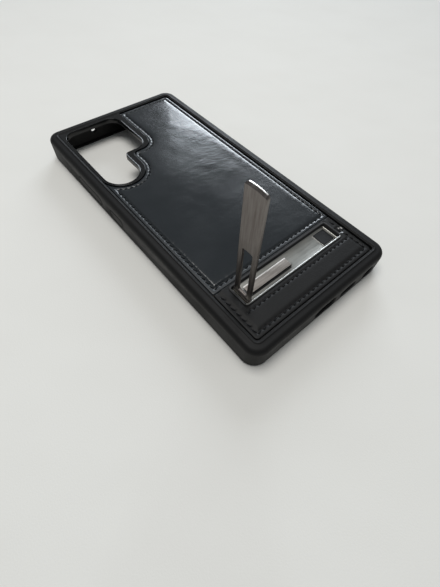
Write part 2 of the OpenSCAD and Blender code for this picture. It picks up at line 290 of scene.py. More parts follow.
def panel_outline(step=0.45):
    """The upper leather panel's edge, which runs round the bezel."""
    x0, y0, x1, y1 = PANEL_LOW[0], PANEL_LOW[1], PANEL_HIGH[0], PANEL_HIGH[1]
    end_r = BEZEL_END_R + BEZEL_GAP
    low_x = BEZEL_LOW_X + BEZEL_GAP
    meet = math.degrees(math.acos((x0 - BEZEL_END[0]) / end_r))
    end = [(x, y, 0) for x, y in arc(BEZEL_END, end_r, 0, -meet, step)[1:]]
    return rounded([
        (x0, y0, 0.8),
        (x1, y0, 0.8),
        (x1, y1, LEATHER_CORNER),
        (BEZEL_X1 + BEZEL_GAP, y1, 0.5),
        (BEZEL_X1 + BEZEL_GAP, BEZEL_STEP - BEZEL_GAP, BEZEL_R + BEZEL_GAP),
        (low_x, BEZEL_STEP - BEZEL_GAP, BEZEL_TURN - BEZEL_GAP),
        (low_x, BEZEL_END[1], 0)] + end, step)


def band_outline(step=0.45):
    """The lower leather band's edge."""
    x0, y0, x1, y1 = BAND_LOW[0], BAND_LOW[1], BAND_HIGH[0], BAND_HIGH[1]
    return rounded([(x0, y0, LEATHER_CORNER), (x1, y0, LEATHER_CORNER),
                    (x1, y1, 0.5), (x0, y1, 0.5)], step)


def shortest(points, gaps, share):
    """The length of each point's shortest gap. gaps is worked out for share points at a time."""
    found = []
    for part in np.array_split(points, max(1, len(points) // share)):
        gap = gaps(part[:, None])
        found.append(np.sqrt((gap * gap).sum(2).min(1)))
    return np.concatenate(found)


def distance(points, loop):
    """How far each point is from an outline."""
    ab = np.roll(loop, -1, 0) - loop
    squared = np.maximum((ab * ab).sum(1), 1e-12)

    def gaps(part):
        ap = part - loop
        t = np.clip((ap * ab).sum(2) / squared, 0, 1)
        return ap - t[:, :, None] * ab

    return shortest(points, gaps, 1500)


def nearest(points, targets):
    """How far each point is from the nearest of the targets."""
    return shortest(points, lambda part: part - targets, 2000)


def inside(points, loop):
    """Which points lie inside an outline."""
    x, y = points[:, 0], points[:, 1]
    hits = np.zeros(len(points), int)
    for (x0, y0), (x1, y1) in zip(loop, np.roll(loop, -1, 0)):
        crosses = (y0 > y) != (y1 > y)
        hits += crosses & (x < x0 + (x1 - x0) * (y - y0) / (y1 - y0 + 1e-15))
    return hits % 2 == 1


# ---- Meshes ----

def mark(mesh, key, values, domain="POINT"):
    """Gives each point or face of a mesh a value that its material can read."""
    layer = mesh.attributes.new(key, "FLOAT", domain)
    layer.data.foreach_set("value", np.asarray(values, np.float32))


def make(name, points, faces, wear_and_glint=None):
    """A smooth shaded object from points in millimetres, each point with a value from 0 to 1 for its wear
    and painted glint.
    """
    mesh = bpy.data.meshes.new(name)
    mesh.from_pydata((np.asarray(points) * MM).tolist(), [], [list(f) for f in faces])
    mesh.validate()
    mesh.polygons.foreach_set("use_smooth", [True] * len(mesh.polygons))
    mark(mesh, "wear_and_glint", np.zeros(len(points)) if wear_and_glint is None else wear_and_glint)
    mesh.update()
    piece = bpy.data.objects.new(name, mesh)
    bpy.context.scene.collection.objects.link(piece)
    return piece


def from_above(piece):
    """A piece's points seen from above, in millimetres."""
    return np.array([v.co[:2] for v in piece.data.vertices]) / MM


def sharpened(piece, angle):
    """Keeps edges sharper than angle crisp."""
    piece.data.set_sharp_from_angle(angle=math.radians(angle))
    return piece


def strip(first, second, count, flip=False):
    """Quads between two closed rings of count points that start at first and second."""
    quads = []
    for i in range(count):
        j = (i + 1) % count
        quad = (first + i, first + j, second + j, second + i)
        quads.append(quad[::-1] if flip else quad)
    return quads


def skin(start, rings, count, flip=False):
    """Quads over a number of closed rings of count points each, one ring after another."""
    return [quad for k in range(rings - 1)
            for quad in strip(start + k * count, start + (k + 1) * count, count, flip)]


def fill(loops, extra=()):
    """Triangles that fill the first loop and leave out the others, as indices into all the points.
    extra are more points inside."""
    parts = [np.asarray(loop)[:, :2] for loop in loops]
    edges, start = [], 0
    for part in parts:
        n = len(part)
        edges += [(start + i, start + (i + 1) % n) for i in range(n)]
        start += n
    flat = np.concatenate([*parts, extra]) if len(extra) else np.concatenate(parts)
    _, _, tris, origin, _, _ = delaunay_2d_cdt(flat.tolist(), edges, [], 0, 1e-7)
    if any(not o for o in origin):
        raise ValueError("outlines cross")
    tris = np.array([o[0] for o in origin])[np.array(tris)]
    middle = flat[tris].mean(1)
    keep = inside(middle, parts[0])
    for hole in parts[1:]:
        keep &= ~inside(middle, hole)
    return tris[keep]


def propped_ends(profile, reach=0.07):
    """The profile with one more point on the flat at each end, to keep the flats' shading flat."""
    (first, low), (last, high) = profile[0], profile[-1]
    return [(first + reach, low), *profile, (last + reach, high)]


def slab(name, outer, profile, holes=(), hole_profile=None):
    """A closed solid whose sides follow a profile of (inset, z) from the bottom edge to the top
    edge. Each hole has its own profile, in which inset moves away from the hole."""
    profile = propped_ends(profile)
    hole_profile = propped_ends(hole_profile) if hole_profile else profile
    loops = [(outer, profile, 1)] + [(h, hole_profile, -1) for h in holes]
    points, faces, marks, bottoms, tops = [], [], [], [], []
    start = 0
    for loop, sides, sign in loops:
        n, count = len(loop), len(sides)
        points += [at(loop, sign * inset, z) for inset, z in sides]
        marks += [np.full(n, 1.0 if 0 < k < count - 1 else 0.35) for k in range(count)]
        faces += skin(start, count, n, flip=sign < 0)
        bottoms.append(np.arange(start, start + n))
        start += n * count
        tops.append(np.arange(start - n, start))
    points = np.concatenate(points)
    for caps, up in ((bottoms, False), (tops, True)):
        index = np.concatenate(caps)
        tris = index[fill([points[c] for c in caps])]
        faces += (tris if up else tris[:, ::-1]).tolist()
    return make(name, points, faces, np.concatenate(marks))


def eased(low, high, r_low, r_high, steps=4):
    """A side profile from low to high with round edges: (inset, z) pairs."""
    under = arc((r_low, low + r_low), r_low, 270, 180, count=steps + 1) if r_low else [(0.0, low)]
    return [*under, *arc((r_high, high - r_high), r_high, 180, 90, count=steps + 1)]


def sweep(name, loop, profile, wear_and_glint):
    """A closed profile of (inset, z), anticlockwise seen along the outline, carried round it."""
    n, count = len(loop), len(profile)
    points = np.concatenate([at(loop, inset, z) for inset, z in profile])
    faces = skin(0, count, n) + strip((count - 1) * n, 0, n)
    return make(name, points, faces, wear_and_glint)


def turned(piece, matrix):
    """Moves a piece's own points by a matrix given in millimetres."""
    scale = Matrix.Scale(MM, 4)
    piece.data.transform(scale @ matrix @ scale.inverted())
    piece.data.update()
    return piece


def joined(name, parts):
    """One object from several, which are removed."""
    points, faces, start = [], [], 0
    kept = {"wear_and_glint": [], "coat_and_shade": []}
    for part in parts:
        mesh = part.data
        co = np.zeros(len(mesh.vertices) * 3)
        mesh.vertices.foreach_get("co", co)
        points.append(co.reshape(-1, 3) / MM)
        faces += [[start + v for v in p.vertices] for p in mesh.polygons]
        for key, found in kept.items():
            values = np.zeros(len(mesh.vertices), np.float32)
            if key in mesh.attributes:
                mesh.attributes[key].data.foreach_get("value", values)
            found.append(values)
        start += len(mesh.vertices)
        bpy.data.objects.remove(part)
    whole = make(name, np.concatenate(points), faces, np.concatenate(kept["wear_and_glint"]))
    mark(whole.data, "coat_and_shade", np.concatenate(kept["coat_and_shade"]))
    return whole


def combined(piece, other, how):
    """Applies a boolean of other to piece, and removes other."""
    cut = piece.modifiers.new(how, "BOOLEAN")
    cut.operation = how
    cut.object = other
    cut.solver = "EXACT"
    bpy.context.view_layer.update()
    graph = bpy.context.evaluated_depsgraph_get()
    mesh = bpy.data.meshes.new_from_object(piece.evaluated_get(graph))
    piece.modifiers.clear()
    piece.data = mesh
    bpy.data.objects.remove(other)
    return piece


# ---- Materials ----

class Look:
    """A new node material, with short calls for the nodes that it needs."""

    def __init__(self, name, colour, light, roughness, **sockets):
        self.material = bpy.data.materials.new(name)
        self.material.use_nodes = True
        self.tree = self.material.node_tree
        self.colour, self.light, self.roughness = colour, light, roughness
        self.shader = self.tree.nodes["Principled BSDF"]
        self.feed(Base_Color=(*colour, 1), Roughness=roughness, **sockets)
        self.where = self.node("TexCoord").outputs["Object"]

    def put(self, socket, value):
        """Links a socket to a node's output, or sets it to a number or colour."""
        if isinstance(value, bpy.types.NodeSocket):
            self.tree.links.new(value, socket)
        else:
            socket.default_value = value

    def feed(self, **values):
        """Puts values on the shader's own sockets."""
        for key, value in values.items():
            self.put(self.shader.inputs[key.replace("_", " ")], value)

    def node(self, kind, **values):
        """A node of that kind, with its sockets and settings given by name."""
        made = self.tree.nodes.new("ShaderNode" + kind)
        for key, value in values.items():
            socket = key.replace("_", " ")
            if socket in made.inputs:
                self.put(made.inputs[socket], value)
            else:
                setattr(made, key, value)
        return made

    def noise(self, size, detail=3.0, rough=0.5, stretch=None):
        """Noise whose blobs are about size millimetres across, 0 to 1."""
        where = self.where
        if stretch is not None:
            where = self.node("Mapping", Vector=where, Scale=stretch).outputs["Vector"]
        made = self.node("TexNoise", Vector=where, Scale=1 / (size * MM), Detail=detail,
                         Roughness=rough)
        return made.outputs["Fac"]

    def marked(self, key):
        """A value that the mesh was marked with, such as how worn it is at this point."""
        return self.node("Attribute", attribute_name=key).outputs["Fac"]

    def spread(self, value, low, high, from_low=0.3, from_high=0.7):
        """The value carried from one range to another."""
        made = self.node("MapRange", Value=value, From_Min=from_low, From_Max=from_high,
                         To_Min=low, To_Max=high)
        return made.outputs["Result"]

    def around(self, value, less, more):
        """The value carried to a range round the material's roughness."""
        return self.spread(value, self.roughness - less, min(1.0, self.roughness + more))

    def maths(self, how, a, b):
        """One sum on two values, each a number or a node's output."""
        made = self.node("Math", operation=how)
        self.put(made.inputs[0], a)
        self.put(made.inputs[1], b)
        return made.outputs["Value"]

    def plus(self, a, b):
        return self.maths("ADD", a, b)

    def minus(self, a, b):
        return self.maths("SUBTRACT", a, b)

    def times(self, a, b):
        return self.maths("MULTIPLY", a, b)

    def mixed(self, factor, first, second):
        """A colour between two, by a factor from 0 to 1."""
        made = self.node("Mix", data_type="RGBA")
        self.put(made.inputs[0], factor)
        for socket, value in zip(made.inputs[6:8], (first, second)):
            self.put(socket, (*value, 1) if isinstance(value, tuple) else value)
        return made.outputs[2]

    def bump(self, *layers):
        """Bump from several heights, each (value, depth in millimetres)."""
        normal = {}
        for value, depth in layers:
            made = self.node("Bump", Height=value, Strength=1.0, Distance=depth * MM, **normal)
            normal = {"Normal": made.outputs["Normal"]}
        self.feed(**normal)

    def tinted(self, shade):
        """The finished material, coloured from its dark to its light colour by shade."""
        self.feed(Base_Color=self.mixed(shade, self.colour, self.light))
        return self.material


def leather(*basics, pebble, crease, coat, **sockets):
    """Finished leather: fine pebble grain, soft creases, patchy shine and rubbed edges. The coat
    is left off the sewn margin, and it is full where the mesh is burnished."""
    look = Look(*basics, **sockets)
    warp = look.node("TexNoise", Vector=look.where, Scale=1 / (1.5 * MM), Detail=2.0)
    bent = look.node("MixRGB", Color1=look.where, Color2=warp.outputs["Color"], Fac=0.00045)
    cells = look.node("TexVoronoi", feature="SMOOTH_F1", Vector=bent.outputs["Color"],
                      Scale=1 / (0.75 * MM), Smoothness=0.6)
    fine = look.noise(0.35, 4.0)
    folds = look.noise(7.0, 3.0, 0.6, (1.0, 1.7, 1.0))
    look.bump((folds, crease), (cells.outputs["Distance"], pebble), (fine, pebble / 3))
    worn, burnish, margin = (look.marked(key) for key in ("wear_and_glint", "burnish", "margin"))
    patchy = look.around(look.noise(22.0, 2.0), 0.03, 0.05)
    matt = look.plus(look.times(margin, 0.24), look.times(worn, 0.12))
    polished = look.times(burnish, look.roughness - 0.14)
    field = look.times(look.minus(1.0, margin), coat)
    look.feed(Roughness=look.minus(look.plus(patchy, matt), polished),
              Coat_Weight=look.plus(field, burnish))
    return look.tinted(look.maths("MAXIMUM", look.spread(fine, 0.0, 0.35), look.times(worn, 0.3)))


def rubber(*basics, **sockets):
    """Matte moulded rubber: a fine spark-eroded texture and faint, paler handling marks."""
    look = Look(*basics, **sockets)
    fine = look.noise(0.22, 5.0, 0.65)
    marks = look.noise(14.0, 4.0, 0.6)
    look.bump((fine, 0.025))
    look.feed(Roughness=look.around(marks, 0.07, 0.08))
    return look.tinted(look.plus(look.spread(marks, 0.0, 0.3), look.spread(fine, 0.0, 0.25)))


def metal(*basics, stretch, grain=0.004):
    """Satin metal: brushed along the axis that stretch leaves small, with edges lightened where the mesh
    is marked, partly worn metal and partly painted highlight. A black coat covers it where the mesh is
    marked for one: a real coat on the tray's rim and walls, and painted shade on the spring leaf's
    underside and on the floor under it."""
    look = Look(*basics)
    lines = look.noise(0.9, 4.0, 0.7, stretch)
    look.bump((lines, grain))
    rough = look.plus(look.around(lines, 0.05, 0.07), look.spread(look.noise(6.0), -0.03, 0.04))
    # Marked edges turn towards the light colour: worn metal, and painted highlights on the arm's tip, the
    # leaf's far edge, the tray's near edge and the magnet's edging.
    edge = look.maths("POWER", look.marked("wear_and_glint"), 3.0)
    shade = look.maths("MAXIMUM", look.spread(lines, 0.0, 0.14), edge)
    # The black coat is partly real and partly painted shade under the spring leaf.
    coat_and_shade = look.marked("coat_and_shade")
    look.feed(Roughness=look.plus(rough, look.times(coat_and_shade, 0.3)), Metallic=look.minus(1.0, coat_and_shade),
              Base_Color=look.mixed(coat_and_shade, look.mixed(shade, look.colour, look.light),
                                    (0.012, 0.012, 0.0125)))
    return look.material


def fabric(*basics, size, depth, **sockets):
    """Short pile or felted fibre."""
    look = Look(*basics, **sockets)
    fibres = look.noise(size, 6.0, 0.75)
    nap = look.noise(size * 30)
    look.bump((fibres, depth))
    look.feed(Roughness=look.around(nap, 0.08, 0.05))
    return look.tinted(look.plus(look.spread(fibres, 0.0, 0.6), look.spread(nap, 0.0, 0.3)))


def gloss(*basics, **sockets):
    """Glossy moulded plastic with hair scratches and faint smears."""
    look = Look(*basics, **sockets)
    scratches = look.noise(0.5, 5.0, 0.8, (1.0, 9.0, 1.0))
    smears = look.noise(5.0)
    look.bump((smears, 0.02), (scratches, 0.0015))
    look.feed(Roughness=look.plus(look.around(smears, 0.02, 0.04),
                                  look.spread(scratches, 0.0, 0.03)))
    return look.tinted(look.spread(smears, 0.0, 0.5))


def twisted_thread(*basics, **sockets):
    """Waxed thread: two plies wound round each other, from the mesh's own turn and run values."""
    look = Look(*basics, **sockets)
    phase = look.plus(look.times(look.marked("turn"), 2.0), look.times(look.marked("run"), 9.0))
    ply = look.maths("SINE", phase, 0.0)
    fuzz = look.noise(0.08, 4.0, 0.7)
    look.bump((ply, 0.05), (fuzz, 0.02))
    look.feed(Roughness=look.around(fuzz, 0.08, 0.1))
    return look.tinted(look.plus(look.spread(ply, 0.0, 0.5, -1.0, 1.0),
                                 look.spread(fuzz, 0.0, 0.4)))


ALONG_X, ALONG_Y, ALONG_Z = (0.06, 1.0, 1.0), (1.0, 0.06, 1.0), (1.0, 1.0, 0.06)

BLACK_RUBBER = rubber("black_rubber", (0.0042, 0.0042, 0.0043), (0.0095, 0.0095, 0.0097), 0.56,
                      Specular_IOR_Level=0.22)
PLATE_PLASTIC = rubber("plate_plastic", (0.010, 0.010, 0.011), (0.022, 0.022, 0.024), 0.45)
PANEL_LEATHER = leather("panel_leather", (0.0085, 0.0115, 0.0140), (0.020, 0.025, 0.030), 0.19,
                        pebble=0.0042, crease=0.13, coat=0.35, Coat_Roughness=0.1)
BAND_LEATHER = leather("band_leather", (0.0052, 0.0052, 0.0053), (0.012, 0.012, 0.0122), 0.5,
                       pebble=0.02, crease=0.10, coat=0.0, Specular_IOR_Level=0.22,
                       Coat_Roughness=0.07)
BEZEL_GLOSS = gloss("bezel_gloss", (0.0065, 0.0068, 0.0070), (0.014, 0.0145, 0.015), 0.1,
                    Specular_IOR_Level=0.42)
THREAD = twisted_thread("thread", (0.006, 0.0066, 0.0076), (0.017, 0.0185, 0.021), 0.64,
                        Specular_IOR_Level=0.2)
# A metal's light colour is both its worn edges' colour and the colour of its painted highlights.
TRAY_METAL = metal("tray_metal", (0.31, 0.31, 0.288), (0.62, 0.62, 0.60), 0.34, stretch=ALONG_X)
ARM_METAL = metal("arm_metal", (0.120, 0.103, 0.094), (0.90, 0.88, 0.85), 0.37, stretch=ALONG_Z,
                  grain=0.0014)
LEAF_STEEL = metal("leaf_steel", (0.27, 0.238, 0.212), (0.85, 0.82, 0.78), 0.33, stretch=ALONG_X)
PIN_STEEL = metal("pin_steel", (0.62, 0.61, 0.59), (0.86, 0.85, 0.84), 0.2, stretch=ALONG_Y)
MAGNET_COAT = gloss("magnet_coat", (0.008, 0.0085, 0.009), (0.020, 0.021, 0.022), 0.34,
                    Specular_IOR_Level=0.3)
LINING = fabric("lining", (0.028, 0.028, 0.031), (0.085, 0.085, 0.090), 0.92, size=0.12, depth=0.05,
                Sheen_Weight=0.35, Sheen_Roughness=0.45)
BOARD = fabric("board", (0.11, 0.085, 0.06), (0.22, 0.18, 0.135), 0.9, size=0.2, depth=0.03)
TAPE = gloss("tape", (0.66, 0.66, 0.60), (0.76, 0.76, 0.72), 0.5)


def paint(piece, mat):
    """Gives a piece one material in place of any that it has."""
    piece.data.materials.clear()
    piece.data.materials.append(mat)


def finished(piece, mat, body, slot, *stands_for):
    """Gives a new piece its material and body, and hides the CAD nodes that it stands for. slot is not
    used.
    """
    paint(piece, mat)
    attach(piece, body)
    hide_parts(*stands_for)
    return piece


# ---- Bumper ----

def bumper_profile():
    """The bumper's section: (inset from the outer face, z), going up the outside."""
    high = FLANGE_TOP - TOP_ROUND
    drop = FLANGE_TOP - RIDGE_TOP + RIDGE_R
    foot = math.sqrt(RIDGE_R ** 2 - drop ** 2)
    low = math.degrees(math.asin(drop / RIDGE_R)) + 6
    lip = WALL + LIP_IN - LIP_ROUND
    return [
        (lip, 0.0), (BOTTOM_ROUND, 0.0),
        *arc((BOTTOM_ROUND, BOTTOM_ROUND), BOTTOM_ROUND, 270, 180, count=9)[1:],
        (0.0, BOTTOM_ROUND + 0.15), (0.0, high - 0.15),
        *arc((TOP_ROUND, high), TOP_ROUND, 180, 90, count=13),
        (RIDGE_IN - foot - 0.22, FLANGE_TOP),
        *arc((RIDGE_IN, RIDGE_TOP - RIDGE_R), RIDGE_R, 180 - low, low, count=9),
        (RIDGE_IN + foot + 0.16, FLANGE_TOP),
        *arc((FLANGE_IN - 0.25, FLANGE_TOP - 0.25), 0.25, 90, 0, count=5),
        (FLANGE_IN, PLATE_TOP), (WALL, PLATE_TOP), (WALL, LIP_T + 0.3),
        *arc((WALL + 0.3, LIP_T + 0.3), 0.3, 180, 270, count=4)[1:],
        (lip, LIP_T),
        *[(lip + LIP_ROUND * x, LIP_T / 2 * (1 + z)) for x, z in arc((0, 0), 1, 90, -90, count=7)[1:-1]]]


def in_wall(name, outline, profile, out, place):
    """A loft of an outline drawn in the plane of a wall that faces out, put in its place there."""
    (x, y), (px, py, pz) = out, place
    stand = Matrix(((-y, 0, x, px), (x, 0, y, py), (0, 1, 0, pz), (0, 0, 0, 1)))
    return turned(slab(name, outline, profile), stand)


def stadium(l, h, step=0.35):
    return round_rect(-l / 2, -h / 2, l / 2, h / 2, min(l, h) / 2, step)


def button_face(low, high):
    """The middle, length and height of a button's cover, without the flange behind it."""
    return ((low[1] + high[1]) / 2, high[1] - low[1] - 2 * BUTTON_FLANGE_W,
            high[2] - low[2] - 2 * BUTTON_FLANGE_W)


def wall_cutters():
    """What the bumper's ports, microphone hole and button windows take away."""
    cutters = []
    flared = [(0.0, -LIP_IN - WALL), (0.0, -0.5), (-0.12, -0.25), (-0.5, 0.0), (-1.2, 0.5)]
    for x, w, h in (USB, SPEAKER, STYLUS):
        cutters.append(in_wall("port", stadium(w, h), flared, (0, -1), (x, -HALF_L, PORT_Z)))
    waisted = [(-0.6, -LIP_IN - WALL), (-0.6, -WALL), (-0.15, -1.4), (0.0, -1.1), *flared[1:]]
    cutters.append(in_wall("mic", stadium(2 * MIC_R, 2 * MIC_R, 0.2), waisted, (0, 1),
                           (MIC_X, HALF_L, MIC_Z)))
    inner, step = -WALL - 0.2, -WALL + BUTTON_FLANGE_T + 0.1
    stepped = [(-BUTTON_STEP, inner), (-BUTTON_STEP, step), (0.0, step), (0.0, -0.35),
               (-0.1, -0.12), (-0.35, 0.0), (-0.8, 0.3)]
    for box in (VOLUME_BOX, POWER_BOX):
        middle, length, tall = button_face(*box)
        window = stadium(length + 2 * BUTTON_GAP, tall + 2 * BUTTON_GAP)
        cutters.append(in_wall("window", window, stepped, (-1, 0), (-HALF_W, middle, PORT_Z)))
    return joined("wall_cutters", cutters)


def build_bumper():
    outline = propped(round_rect(-HALF_W, -HALF_L, HALF_W, HALF_L, CORNER_R, 0.7))
    profile = bumper_profile()
    rubbed = [z > RIDGE_TOP - 0.12 or (z > FLANGE_TOP - 1.2 and inset < 1.4) for inset, z in profile]
    bumper = sweep("bumper", outline, profile, np.repeat(rubbed, len(outline)))
    bumper = sharpened(combined(bumper, wall_cutters(), "DIFFERENCE"), 32)
    return finished(bumper, BLACK_RUBBER, "case", "bumper", "bumper_frame")


# ---- Leather ----

def waves(points, size, seed, count=14):
    """Smooth random swells about size millimetres across, roughly -1 to 1."""
    rng = random.Random(seed)
    total = np.zeros(len(points))
    for _ in range(count):
        angle = rng.uniform(0, math.pi)
        length = size * rng.uniform(0.6, 1.8)
        k = 2 * math.pi / length
        along = points[:, 0] * math.cos(angle) + points[:, 1] * math.sin(angle)
        total += np.sin(k * along + rng.uniform(0, 2 * math.pi))
    return total / math.sqrt(count)


def smooth(value, low, high):
    """0 below low, 1 above high, and an even slope between them."""
    t = np.clip((value - low) / (high - low), 0, 1)
    return t * t * (3 - 2 * t)


def bell(value, width):
    """1 where value is 0, falling to nothing at about twice width on both sides."""
    return np.exp(-(value / width) ** 2)


def stitch_line(*corners):
    """Middles and directions of the stitches along straight rows from corner to corner."""
    found = []
    for start, end in zip(np.array(corners, float), np.array(corners[1:], float)):
        count = math.floor(np.linalg.norm(end - start) / STITCH_PITCH)
        way = math.atan2(*(end - start)[::-1])
        found += [(start + (end - start) * (i + 0.5) / count, way) for i in range(count)]
    return found


def stitch_arc(centre, r, start, end):
    """Middles and directions of the stitches round an arc."""
    count = max(1, round(r * math.radians(abs(end - start)) / STITCH_PITCH))
    found = []
    for i in range(count):
        a = math.radians(start + (end - start) * (i + 0.5) / count)
        way = a + math.copysign(math.pi / 2, end - start)
        found.append((np.array((centre[0] + r * math.cos(a), centre[1] + r * math.sin(a))), way))
    return found


ROW_X, ROW_Y = PANEL_HIGH[0] - STITCH_IN, PANEL_HIGH[1] - STITCH_IN


def panel_rows():
    low = PANEL_LOW[1] + STITCH_IN
    return stitch_line((-ROW_X, BEZEL_LOW[1] - 1), (-ROW_X, low), (ROW_X, low), (ROW_X, ROW_Y),
                       (BEZEL_X1 + BEZEL_GAP + STITCH_IN, ROW_Y))


def camera_rows():
    out = BEZEL_GAP + STITCH_IN
    right, low_right, step = BEZEL_X1 + out, BEZEL_LOW_X + out, BEZEL_STEP - out
    r, turn = BEZEL_R + out, BEZEL_TURN - out
    return (stitch_line((right, ROW_Y - 1), (right, step + r))
            + stitch_arc((right - r, step + r), r, 0, -90)
            + stitch_arc((low_right + turn, step - turn), turn, 90, 180)
            + stitch_line((low_right, step - turn), (low_right, BEZEL_END[1]))
            + stitch_arc(BEZEL_END, BEZEL_END_R + out, 0, -130))


def slot_rows():
    return stitch_line((SLOT_X0 - 2.5, SLOT_ROW_Y), (SLOT_X1 + 2.5, SLOT_ROW_Y))


def border_rows():
    top = PANEL_LOW[1] - STITCH_IN
    return (stitch_line((-ROW_X, top), (-ROW_X, -ROW_Y), (ROW_X, -ROW_Y), (ROW_X, DISH[1] - DISH_R))
            + stitch_line((ROW_X, DISH[1] + DISH_R), (ROW_X, top)))


def pricks(rows):
    """Where the thread goes in and out: both ends of each stitch."""
    ends = []
    for middle, way in rows:
        along = np.array((math.cos(way + STITCH_TILT), math.sin(way + STITCH_TILT)))
        ends += [middle - along * STITCH_L / 2, middle + along * STITCH_L / 2]
    return np.array(ends)


PANEL_EDGE = filled_in(panel_outline(), 0.45)
BAND_EDGE = filled_in(band_outline(), 0.45)
PANEL_PRICKS = pricks(panel_rows() + camera_rows())
BAND_PRICKS = pricks(slot_rows() + border_rows())
EDGE_ROLL = 0.4
EDGE_RINGS = (0.04, 0.12, 0.24, 0.4, 0.9, 1.4, 1.7, 2.0, 2.3, 2.6, 2.9, 3.2, 3.6, 4.2)


def edge_drop(gap):
    """How far the leather's rolled edge lies below its top, by the distance from the edge."""
    t = np.clip(1 - gap / EDGE_ROLL, 0, 1)
    return EDGE_ROLL * (1 - np.sqrt(np.maximum(0, 1 - t * t)))


def panel_height(points):
    """The upper panel: a sewn margin, a groove at the stitches, a full shoulder, a soft crown."""
    gap = distance(points, PANEL_EDGE)
    z = SEWN_TOP - edge_drop(gap) + 0.06 * smooth(gap, 0.0, 0.9) * (1 - smooth(gap, 1.2, 1.8))
    z -= 0.14 * bell(gap - STITCH_IN, 0.33)
    z -= 0.22 * bell(nearest(points, PANEL_PRICKS), 0.34)
    shoulder = smooth(gap, STITCH_IN + 0.2, STITCH_IN + 1.15)
    crest = 1 - np.exp(-np.maximum(0, gap - STITCH_IN - 0.7) / 0.7)
    z += (PANEL_TOP - SEWN_TOP) * (0.7 * shoulder + 0.3 * crest)
    pucker = waves(points, 3.2, 5) * 0.022 * bell(gap - 3.4, 1.5)
    swell = 0.035 * waves(points, 26, 7) + 0.010 * waves(points, 8, 11)
    inner = smooth(gap, 3.0, 9.0)
    return z + pucker + swell * inner - 0.02 * inner


def band_height(points):
    """The lower band: flatter than the panel, with a row along the slot and a thumb dish."""
    x, y = points[:, 0], points[:, 1]
    border = np.minimum(BAND_HIGH[0] - np.abs(x), y - BAND_LOW[1])
    gap = distance(points, BAND_EDGE)
    z = SEWN_TOP - edge_drop(gap) + 0.05 * smooth(gap, 0.0, 0.9) * (1 - smooth(border, 1.2, 1.8))
    z -= 0.11 * bell(border - STITCH_IN, 0.33)
    z += (BAND_TOP - SEWN_TOP) * smooth(border, STITCH_IN + 0.3, STITCH_IN + 1.9)
    row = np.abs(y - SLOT_ROW_Y) + 9 * smooth(x, SLOT_X1 + 2.3, SLOT_X1 + 3.4)
    row += 9 * (1 - smooth(x, SLOT_X0 - 3.4, SLOT_X0 - 2.3))
    z -= 0.17 * bell(row, 0.55)
    z -= 0.2 * bell(nearest(points, BAND_PRICKS), 0.34)
    z -= 0.12 * bell(distance(points, slot_outline(TRAY_WALL + TRAY_RIM)), 0.8)
    dish = np.hypot(x - DISH[0], y - DISH[1]) / DISH_R
    z -= (DISH_DEPTH - 0.15) * np.maximum(0, 1 - dish ** 5)
    inner = smooth(border, 3.0, 7.0)
    swell = (0.02 * waves(points, 18, 17) + 0.006 * waves(points, 6, 19)) * inner
    return z + swell


def ringed(loop, insets, spacing=0.5):
    """Points on rings inside an outline, where they are really that far from it."""
    found = []
    spaced = filled_in(loop, spacing)
    for inset in insets:
        ring = spaced + inward(spaced) * inset
        keep = (distance(ring, loop) > inset - 0.03) & inside(ring, loop)
        found.append(ring[keep])
    return np.concatenate(found)


def thinned(points, fixed, spacing):
    """Drops points that lie too near a fixed point or an earlier one."""
    cells, kept = {}, []
    for n, p in enumerate(np.concatenate([fixed, points])):
        cell = (int(p[0] // spacing), int(p[1] // spacing))
        near = [q for i in (-1, 0, 1) for j in (-1, 0, 1)
                for q in cells.get((cell[0] + i, cell[1] + j), ())]
        close = any((q[0] - p[0]) ** 2 + (q[1] - p[1]) ** 2 < spacing ** 2 for q in near)
        if n < len(fixed) or not close:
            cells.setdefault(cell, []).append(p)
            kept.append(p)
    return np.array(kept[len(fixed):])


def spots(ends):
    """Points round each stitch hole."""
    found = [ends]
    for r in (0.22, 0.42):
        for k in range(6):
            found.append(ends + np.array((math.cos(k * math.pi / 3), math.sin(k * math.pi / 3))) * r)
    return np.concatenate(found)


def grid(low, high, step=1.1):
    """Points of an even grid in a box, every other row shifted by half a step."""
    rows = np.arange(low[1] + step, high[1], step * 0.87)
    cols = np.arange(low[0] + step, high[0] - step / 2, step)
    return np.array([(x + (step / 2 if i % 2 else 0), y) for i, y in enumerate(rows) for x in cols])


def hide(name, edge, height, ends, holes=(), extra=()):
    """A closed piece of leather: flat underneath, sides at its edge, and height(points) on top."""
    free = np.concatenate([spots(ends), ringed(edge, EDGE_RINGS), *extra, grid(edge.min(0), edge.max(0))])
    free = free[inside(free, edge)]
    free = free[distance(free, edge) > 0.03]
    for hole in holes:
        free = free[~inside(free, hole)]
        free = free[distance(free, hole) > 0.1]
    loops = [edge, *holes]
    rim = np.concatenate(loops)
    free = thinned(free, rim, 0.1)
    flat = np.concatenate([rim, free])
    under = np.column_stack([rim, np.full(len(rim), BOARD_TOP)])
    points = np.concatenate([np.column_stack([flat, height(flat)]), under])
    faces = fill(loops, free).tolist()
    base, start = len(flat), 0
    for k, loop in enumerate(loops):
        faces += strip(base + start, start, len(loop), flip=k > 0)
        start += len(loop)
    faces += (fill(loops)[:, ::-1] + base).tolist()
    gap = np.concatenate([distance(flat, edge), np.zeros(len(rim))])
    return make(name, points, faces, 0.9 * bell(gap, 0.25) + 0.35 * bell(gap - 3.3, 0.5))


def build_panel():
    panel = hide("padded_panel", PANEL_EDGE, panel_height, PANEL_PRICKS)
    co = from_above(panel)
    sewn = 1 - smooth(distance(co, PANEL_EDGE), STITCH_IN + 0.2, STITCH_IN + 0.8)
    sewn *= 1 - 0.8 * smooth(co[:, 0], 16.0, 22.0)
    sewn *= 1 - 0.6 * smooth(co[:, 1], 12.0, 18.0) * (1 - smooth(co[:, 0], 7.0, 10.0))
    mark(panel.data, "margin", sewn)
    finished(panel, PANEL_LEATHER, "case", "panel_leather", "leather_panel", "panel_padding")
    return panel


